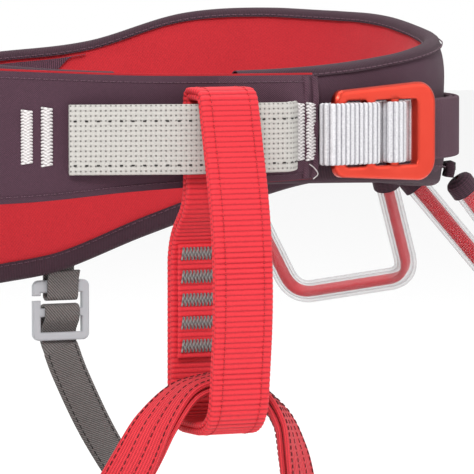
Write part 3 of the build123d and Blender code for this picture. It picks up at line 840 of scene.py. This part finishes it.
at_waist_buckle = buckle_frame(WAIST, BUCKLE_HEADING, BUCKLE_OUT, BUCKLE_TOUCH, 0)
BUCKLE_THICK = 4.5
clear = BUCKLE_THICK / 2 + GAP
run = side_run(at_waist_buckle(58.7, -(clear + 3.35)), RUN_OUT, 122)
tail_run = side_run(at_waist_buckle(58.7, -(clear + 1)), TAIL_OUT, 112)
anchor, adjuster = buckle_webbing(at_waist_buckle, 1, BUCKLE_THICK, 2.0, 25,
                                  ("buckle_anchor_strap", "adjuster_strap"), [WHITE_WEB, PLUM_TWILL],
                                  run[::-1], tail_run)
place(anchor, "waist_buckle", ["buckle_anchor_webbing"])
place(adjuster, "waist", ["adjuster_webbing", "adjuster_bight"],
      ("waist_buckle", at_waist_buckle(76, -5), at_waist_buckle(46, -5)))
tail_tacks = []
for heading, out in ((110.7, TAIL_OUT), (116, RUN_OUT), (119.5, RUN_OUT)):
    p, along, _ = WAIST.facing(heading, out + 1.15)
    tail_tacks += zigzag(p, UP, along, 20, 3.2, 26)
sew("adjuster_bartacks", tail_tacks, 0.3, PLUM_THREAD)
place(keeper("tail_keeper_band", WAIST.facing(104, (10.35 + 16.95) / 2), 2.7, 14.1, 1.6, 11, 1.15, 8,
             (1.8, 0.1)), "tail_keeper", ["tail_keeper"])


# -------- belay loop
LOOP_OUTER = [(-122.4, 20.4), (-140.2, 20.4), (-158, -48), (-150, -118), (-107, -118), (-107.2, -41),
              (-122.4, -25)]
LOOP_RADII = [7.5, 8, 70, 22, 21, 14, 9]
outline = rounded([(0, y, z) for y, z in LOOP_OUTER], [r * 0.75 for r in LOOP_RADII], closed=True, step=0.7)
for ply, depth, wide, rib in (("outer", 1.25, 25, 0.42), ("inner", 3.7, 24.6, 0.36)):
    piece = strap(f"belay_loop_{ply}", shifted(outline, ACROSS, depth, True), ACROSS, wide, 2.3, [RED_WEB],
                  closed=True, ribs=(2.1, rib), flats=18)
    place(piece, "belay_loop", ["belay_loop_webbing"] if ply == "outer" else [])
face = shifted(outline, ACROSS, -0.02, True)
loop_seams = []
for x in (-8.4, 8.4):
    loop_seams += stitches([p + ACROSS * x for p in face + face[:1]], 2.6, 1.7)
sew("belay_loop_stitches", loop_seams, 0.27, RED_THREAD, "belay_loop")
lap = [Vector((0, -113.9 + 0.2 * sin(z * 0.2), z)) for z in span(-89, -43, 0.8)]
place(strap("belay_loop_lap", lap, ACROSS, 21, 1.5, [RED_WEB], ribs=(2.1, 0.3), flats=14), "belay_loop",
      ["belay_loop_overlap"])
lap_tacks = []
for k in range(5):
    lap_tacks += zigzag(Vector((0, -115.1, -65.5 + 9.3 * (k - 2))), ACROSS, UP, 18.5, 4.8, 12)
sew("belay_loop_bartack_threads", lap_tacks, 0.4, GREY_THREAD, "belay_loop", nodes=["belay_loop_bartacks"])


# -------- bridge and risers
BRIDGE = [(0, -130, -97), (15, -130.5, -101), (27, -130, -113), (35, -125.5, -129), (42, -117, -146),
          (49, -106, -163), (53, -99.5, -177), (52.7, -95.9, -191)]
BRIDGE_TWIST = [0, 12, 32, 48, 56, 58, 58, 57]
RISER = [(34.5, 113.1, -105.7), (39, 112, -118), (48, 107, -140), (57.5, 98, -161), (65, 86.5, -178),
         (68, 79.8, -186.5), (68.6, 78.2, -193)]
RISER_TWIST = [90, 90, 90, 86, 76, 70, 69]


def turning(points, twists):
    """Across direction by share of a path's length, turning about the upright."""
    lengths = [0.0]
    for a, b in zip(points, points[1:]):
        lengths.append(lengths[-1] + (Vector(b) - Vector(a)).length)
    table = [(length / lengths[-1], twist) for length, twist in zip(lengths, twists)]

    def across(share):
        turn = radians(smooth(table, share))
        return Vector((sin(turn), cos(turn), 0))
    return across


def normals(path, across):
    """Width direction and direction out of the face of a strap, at each point of its path."""
    out = []
    for i, tangent in enumerate(tangents(path)):
        side = across(i / (len(path) - 1))
        side = (side - tangent * side.dot(tangent)).normalized()
        out.append((side, side.cross(tangent).normalized()))
    return out


def sewn_rows(path, frames, offsets, lift, pitch, length):
    """Running stitches along both faces of a strap; lift(a) is the height of the row at offset a."""
    rows = []
    for sign in (1, -1):
        for a in offsets:
            line = [p + side * a + face * lift(a) * sign for p, (side, face) in zip(path, frames)]
            rows += stitches(line, pitch, length)
    return rows


def sewn_across(path, frames, share, lift, length, width, turns):
    """Bartack across both faces of a strap, at a share of its path."""
    i = int(share * len(path))
    side, face = frames[i]
    down = (path[i + 1] - path[i]).normalized()
    tacks = []
    for sign in (1, -1):
        tacks += zigzag(path[i] + face * lift * sign, side, down, length, width, turns)
    return tacks


def swell(a):
    """Thickness of folded webbing, by distance from its middle."""
    return 1.22 - 0.5 * (a / 9.5) ** 2


def folded(a, b):
    """Section point of folded webbing, with fine ribs on its faces."""
    return a, b * swell(a) + 0.12 * cos(a * 5.5) * (abs(b) > 1)


bridge_path = flowing(BRIDGE, step=0.7)
bridge_across = turning(BRIDGE, BRIDGE_TWIST)
frames = normals(bridge_path, bridge_across)
BRIDGE_BLEND = ("left_leg", (42, -117, -146), (52, -101, -174))
for part, sign, wide, nodes in (("face", 1, 19, ["leg_bridge_strap"]), ("back", -1, 18.6, [])):
    path = [p + f[1] * 1.5 * sign for p, f in zip(bridge_path, frames)]
    piece = strap(f"left_bridge_{part}", path, bridge_across, wide, 2.8, [RED_FOLD], flats=16, shape=folded)
    two_sides(piece, "leg_bridge", nodes, BRIDGE_BLEND)
rows = sewn_rows(bridge_path, frames, (-7.6, -2.6, 2.6, 7.6), lambda a: 1.6 + 1.4 * swell(a), 3.0, 1.6)
rows += sewn_across(bridge_path, frames, 0.955, 3.25, 14, 3, 14)
two_sides(capsules("left_bridge_stitches", rows, 0.26, [DARK_RED]), "leg_bridge", blend=BRIDGE_BLEND)

riser_path = flowing(RISER, step=0.8)
riser_across = turning(RISER, RISER_TWIST)
frames = normals(riser_path, riser_across)
RISER_BLEND = ("left_leg", (48, 107, -140), (64, 88, -176))
RISER_RIBS = (2.2, 0.08)
piece = strap("left_riser_web", riser_path, riser_across, 17, 1.9, [ELASTIC], ribs=RISER_RIBS, flats=12)
two_sides(piece, "leg_bridge", ["left_riser"], RISER_BLEND)
rows = sewn_rows(riser_path, frames, (-6.8, 6.8), lambda a: 1.02, 3.4, 2.2)
for share in (0.9, 0.95):
    rows += sewn_across(riser_path, frames, share, 1.05, 12, 2.2, 12)
two_sides(capsules("left_riser_stitches", rows, 0.24, [DARK_THREAD]), "leg_bridge", blend=RISER_BLEND)
HOOK_X = 34.5
turn_over = rounded([(35.1, 113, -107.5), (HOOK_X, 113.6, -104.8), (HOOK_X, 115.5, -102.4),
                     (HOOK_X, 115.5, -97.6), (HOOK_X, 110.9, -92.2), (HOOK_X, 110.9, -86.4),
                     (HOOK_X, 116.4, -86.4), (HOOK_X, 117.6, -92), (HOOK_X, 117.6, -101.5),
                     (36, 115.1, -108), (38.3, 114, -114)],
                    [1.5, 1.5, 1.5, 1.6, 2.2, 2.2, 2.2, 2.2, 2.5, 2, 2])
piece = strap("left_riser_wrap", turn_over, ACROSS, 16.8, 1.5, [ELASTIC], ribs=RISER_RIBS, flats=12)
two_sides(piece, "leg_bridge")
anchor_loop = rounded([(HOOK_X, 114.6, -63.5), (HOOK_X, 115.5, -73.9), (HOOK_X, 115.5, -83.6),
                       (HOOK_X, 110.7, -83.6), (HOOK_X, 110.2, -75), (HOOK_X, 108.2, -70.6)], [2.2] * 6)
piece = strap("left_riser_anchor", anchor_loop, ACROSS, 15, 1.2, [ELASTIC], ribs=RISER_RIBS, flats=12)
twin = mirrored(piece)
place(piece, "waist", ["riser_anchors"])
place(twin, "waist")
anchor_tacks = []
for side in (-1, 1):
    ends = []
    for step in (-6.5, 6.5):
        s = WAIST.half - side * 34.9 + step
        foot = WAIST.at(s, PROBE_OUT)[0]
        ends.append(WAIST.at(s, belt_inner(0.05, foot, 0) - 0.9, belt_edges(foot)[0] + 4.6)[0])
    slope = (ends[1] - ends[0]).normalized()
    anchor_tacks += zigzag((ends[0] + ends[1]) / 2, slope, UP, 13, 2.4, 14)
sew("riser_anchor_tacks", anchor_tacks, 0.3, GREY_THREAD)


# -------- gear loops
GEAR = {"front_left": (70, 97, -24, -25, 62, 40, 12), "rear_left": (104, 134, -25, -38, 54, 32, 12)}


def hollow(name, path, normal, radius, bore, mats, sides, mouth=1.0):
    """Hollow tube round a path, closed at both ends by its wall.

    normal is where its first corner points; it starts at the mouth's share of its radius.
    """
    outer, inner, travelled = [], [], 0.0
    for i, (p, tangent) in enumerate(zip(path, tangents(path))):
        normal = (normal - tangent * normal.dot(tangent)).normalized()
        other = tangent.cross(normal)
        travelled += (p - path[i - 1]).length if i else 0
        close = min(1.0, mouth + travelled / 2.2)
        circle = [normal * cos(2 * pi * k / sides) + other * sin(2 * pi * k / sides) for k in range(sides)]
        outer.append([p + way * radius * close for way in circle])
        inner.append([p + way * bore * close for way in circle])
    return skin(name, outer + inner[::-1], mats, closed=True)


for loop_name, (front, rear, front_z, rear_z, drop, lean, bend) in GEAR.items():
    a, b = waist_at(front, PAD + 6.2, front_z), waist_at(rear, PAD + 6.2, rear_z)
    along = (b - a).normalized()
    chord = (b - a).length
    outward = Vector((along.y, -along.x, 0)).normalized()
    down = outward * sin(radians(lean)) - UP * cos(radians(lean))
    square = along.cross(down).normalized()
    at = [a + along * x + down * y for x, y in ((0, 0), (6, drop), (chord - 6, drop), (chord, 0))]
    path = rounded(at, [bend * 0.9] * 4, step=1.2)
    body, first = f"gear_loop_{loop_name}", tangents(path)[0].orthogonal()
    clear_tube = hollow(f"gear_tube_{loop_name}_clear", path, first, 5, 3.7, [CLEAR], 28)
    tape = strap(f"gear_tape_{loop_name}_web", path, square, 6.2, 3.0, [RED_TAPE], ribs=(1.5, 0.06),
                 flats=6, edge=1.4)
    two_sides(clear_tube, body, [f"gear_tube_{loop_name}"])
    two_sides(tape, body, [f"gear_tape_{loop_name}"])
    for index, way in enumerate((path, path[::-1])):
        lead = way[0] + (way[0] - way[1]).normalized() * 1.4
        piece = hollow(f"gear_cuff_{loop_name}_{index}", [lead, lead.lerp(way[0], 0.5)] + way[:6],
                       lead.orthogonal(), 6.1, 5.15, [BIND_PLUM], 24, mouth=0.25)
        two_sides(piece, body)
tabs = []
for front, rear, front_z, rear_z, *_ in GEAR.values():
    tabs += [(front, front_z), (rear, rear_z)]
tab_threads = []
for index, (heading, z) in enumerate(tabs):
    p, along, outward = WAIST.facing(heading, PAD + 2.2, z + 4.8)
    line = [p + UP * step + outward * 0.3 * cos(step * 0.9) for step in span(3.2, -3.2, 0.5)]
    tab_threads += zigzag(p + outward * 2.3 + UP * 1.4, along, UP, 9, 3, 14)
    piece = strap(f"gear_tab_left_{index}", line, along, 12, 3.8, [BIND_PLUM], flats=8, edge=1.2)
    twin = mirrored(piece)
    place(piece, "waist", ["gear_loop_tabs"] if index == 0 else [])
    place(twin, "waist")
piece = capsules("gear_tab_tacks_left", tab_threads, 0.26, [GREY_THREAD])
place(mirrored(piece), "waist")
place(piece, "waist")


# -------- haul loop
REAR = WAIST.at(WAIST.half, PAD)[0].y
haul = rounded([(0, REAR + back, z) for back, z in ((2.5, -14.9), (6.7, -14.9), (14, -55.1), (3.9, -55.1))],
               [1, 1, 4, 4], closed=True, step=0.6)
place(strap("haul_loop_web", haul, ACROSS, 15, 1.8, [GREY_STRAP], closed=True, ribs=(2.1, 0.1)),
      "haul_loop", ["haul_loop"])
patch_line = [Vector((0, REAR + 1.7 + 0.2 * sin(z * 0.7), z)) for z in span(-1.6, -12.4, 0.7)]
place(strap("haul_patch", patch_line, ACROSS, 30, 2.8, [BIND_PLUM], flats=14, edge=1.0), "waist",
      ["haul_loop_patch"])
haul_threads = zigzag(Vector((0, REAR + 3.4, -7)), ACROSS, UP, 24, 5, 32)
sew("haul_patch_tacks", haul_threads, 0.3, GREY_THREAD)


# -------- leg loops
def leg_edges(p):
    return smooth(LEG_LOW, p.y), smooth(LEG_TOP, p.y)


SLOT_S = LEG.length_to(LEG_BUCKLE_HEADING)
LEG_RUN = span(SLOT_S + 6.5, 2 * LEG.half + SLOT_S - 6.5, 2.6)
LEG_SHAPE = (LEG, LEG_RUN, leg_edges)


def leg_outer(h, p, s):
    return 5.9 + 2.1 * crown(h) * tip_share(s, LEG_RUN, 12) + wrinkle(p, 22, 0.7, 11) + wrinkle(p, 8, 0.2, 12)


def leg_inner(h, p, s):
    return 1.4 - 1.4 * crown(h) * tip_share(s, LEG_RUN, 12) - wrinkle(p, 20, 0.6, 13)


piece = pad_layer("left_leg_shell_cloth", *LEG_SHAPE, leg_outer, beside(leg_outer, -1.0), 2.6, 2.6, [PLUM],
                  rows=18)
for obj in two_sides(piece, "left_leg", ["left_leg_shell"]):
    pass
piece = pad_layer("left_leg_lining_cloth", *LEG_SHAPE, beside(leg_inner, 1.0), leg_inner, 2.6, 2.6,
                  [RED_LINING], rows=18)
two_sides(piece, "left_leg", ["left_leg_lining"])
piece = pad_layer("left_leg_foam_core", LEG, span(LEG_RUN[0] + 1.5, LEG_RUN[-1] - 1.5, 5), leg_edges,
                  lambda h, p, s: 4.0, lambda h, p, s: 3.0, 4, 4, [FOAM], rows=6)
two_sides(piece, "left_leg", ["left_leg_foam"])
leg_seams = []
for side, top_side in (("top", True), ("bottom", False)):
    piece = bound_edge(f"left_leg_binding_{side}", *LEG_SHAPE, top_side, 5.2, leg_outer, leg_inner)
    two_sides(piece, "left_leg", ["left_leg_binding"] if top_side else [])
    for profile, away in ((leg_outer, 0.75), (leg_inner, -0.75)):
        leg_seams += edge_stitches(LEG, LEG_RUN[1:-1], leg_edges, profile, away, 4.2, top_side)
piece = capsules("left_leg_stitches", leg_seams, 0.26, [PLUM_THREAD])
two_sides(piece, "left_leg")
web_run = [LEG.at(s, LEG_PAD + 1.85, LEG_WEB_Z)[0]
           for s in span(SLOT_S + 22.5, 2 * LEG.half + SLOT_S - 22.5, 3)]
piece = strap("left_leg_strap", web_run, UP, 20, 1.5, [GREY_STRAP], ribs=(2.0, 0.1), flats=12)
two_sides(piece, "left_leg", ["left_leg_webbing"])
at_leg_buckle = buckle_frame(LEG, LEG_BUCKLE_HEADING, LEG_PAD + 6.4, 17, LEG_WEB_Z)
anchor, bight = buckle_webbing(at_leg_buckle, 34 / 54, 3.4, 1.5, 20,
                               ("left_leg_buckle_anchor", "left_leg_buckle_bight"), [GREY_STRAP])
two_sides(anchor, "left_leg_buckle", ["left_leg_buckle_webbing"])
two_sides(bight, "left_leg_buckle")
middle = LEG.facing(75, LEG_PAD + 1.83, LEG_WEB_Z)
two_sides(keeper("left_leg_keeper_band", middle, 1.35, 10.8, 1.0, 9, 0.55, 6), "left_leg",
          ["left_leg_keeper"])


# -------- finishes of the CAD parts that show
FINISHES = [
    (ANODISED, ["waist_buckle_frame", "waist_buckle_bar"]),
    (STEEL, [f"{side}_leg_buckle_{part}" for side in ("left", "right") for part in ("frame", "bar")]),
    (HOOK_GREY, ["left_hook_buckle", "right_hook_buckle"]),
    (WHITE_WEB, ["load_webbing", "front_band_webbing"]),
]
for mat, nodes in FINISHES:
    for node in nodes:
        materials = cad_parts[node].data.materials
        materials.clear()
        materials.append(mat)
# -------- stage, light and camera
bpy.ops.mesh.primitive_plane_add(size=12, location=(0, 0, -0.262))
floor = bpy.context.object
floor.name = "floor"
paper = Nodes(bpy.data.materials.new("floor_paper"))
paper.feed(paper.shader.inputs["Base Color"], (0.93, 0.93, 0.93, 1))
paper.feed(paper.shader.inputs["Roughness"], 0.9)
floor.data.materials.append(paper.owner)

# The sky is brighter upward, but plain white where the camera looks straight at it.
SKY_LEVEL, SKY_RISE = 0.62, 0.55
sky = Nodes(bpy.data.worlds.new("studio"), "Background")
direction = sky.add("TexCoord").outputs["Generated"]
height = sky.add("SeparateXYZ", direction).outputs[2]
brighter = sky.add("Math", height, SKY_RISE, SKY_LEVEL, operation="MULTIPLY_ADD").outputs[0]
level = sky.add("Mix", sky.add("LightPath").outputs["Is Camera Ray"])
sky.feed(level.inputs[2], brighter)
sky.feed(level.inputs[3], 1.0)
sky.feed(sky.shader.inputs[0], (1, 1, 1, 1))
sky.feed(sky.shader.inputs[1], level.outputs[0])
bpy.context.scene.world = sky.owner


LIT_POINT = Vector((0, 0, -0.05))


def area(name, location, size, power):
    """Round white lamp aimed at the harness; size in metres, power in watts."""
    light = bpy.data.lights.new(name, "AREA")
    light.shape, light.size, light.energy = "DISK", size, power
    obj = linked(name, light)
    obj.location = location
    obj.rotation_euler = (LIT_POINT - obj.location).to_track_quat("-Z", "Y").to_euler()


area("key", (-0.7, -1.2, 1.0), 0.5, 18)
area("fill", (1.4, -0.9, 0.4), 0.8, 4)
area("top", (0.1, 0.3, 1.6), 0.7, 10)

AZIMUTH, ELEVATION, DISTANCE = radians(-25), radians(4), 2.0
LOOK_AT = Vector((0.01015, -0.12573, -0.040))
SEEN_WIDTH = 0.190  # width of the view at LOOK_AT, in metres
SENSOR = 36
camera_data = bpy.data.cameras.new("camera")
camera_data.lens = SENSOR * DISTANCE / SEEN_WIDTH
camera_data.sensor_width = SENSOR
camera = linked("camera", camera_data)
away = Vector((sin(AZIMUTH) * cos(ELEVATION), -cos(AZIMUTH) * cos(ELEVATION), sin(ELEVATION)))
camera.location = LOOK_AT + away * DISTANCE
camera.rotation_euler = (-away).to_track_quat("-Z", "Y").to_euler()
bpy.context.scene.camera = camera
bpy.context.scene.view_settings.view_transform = "Standard"
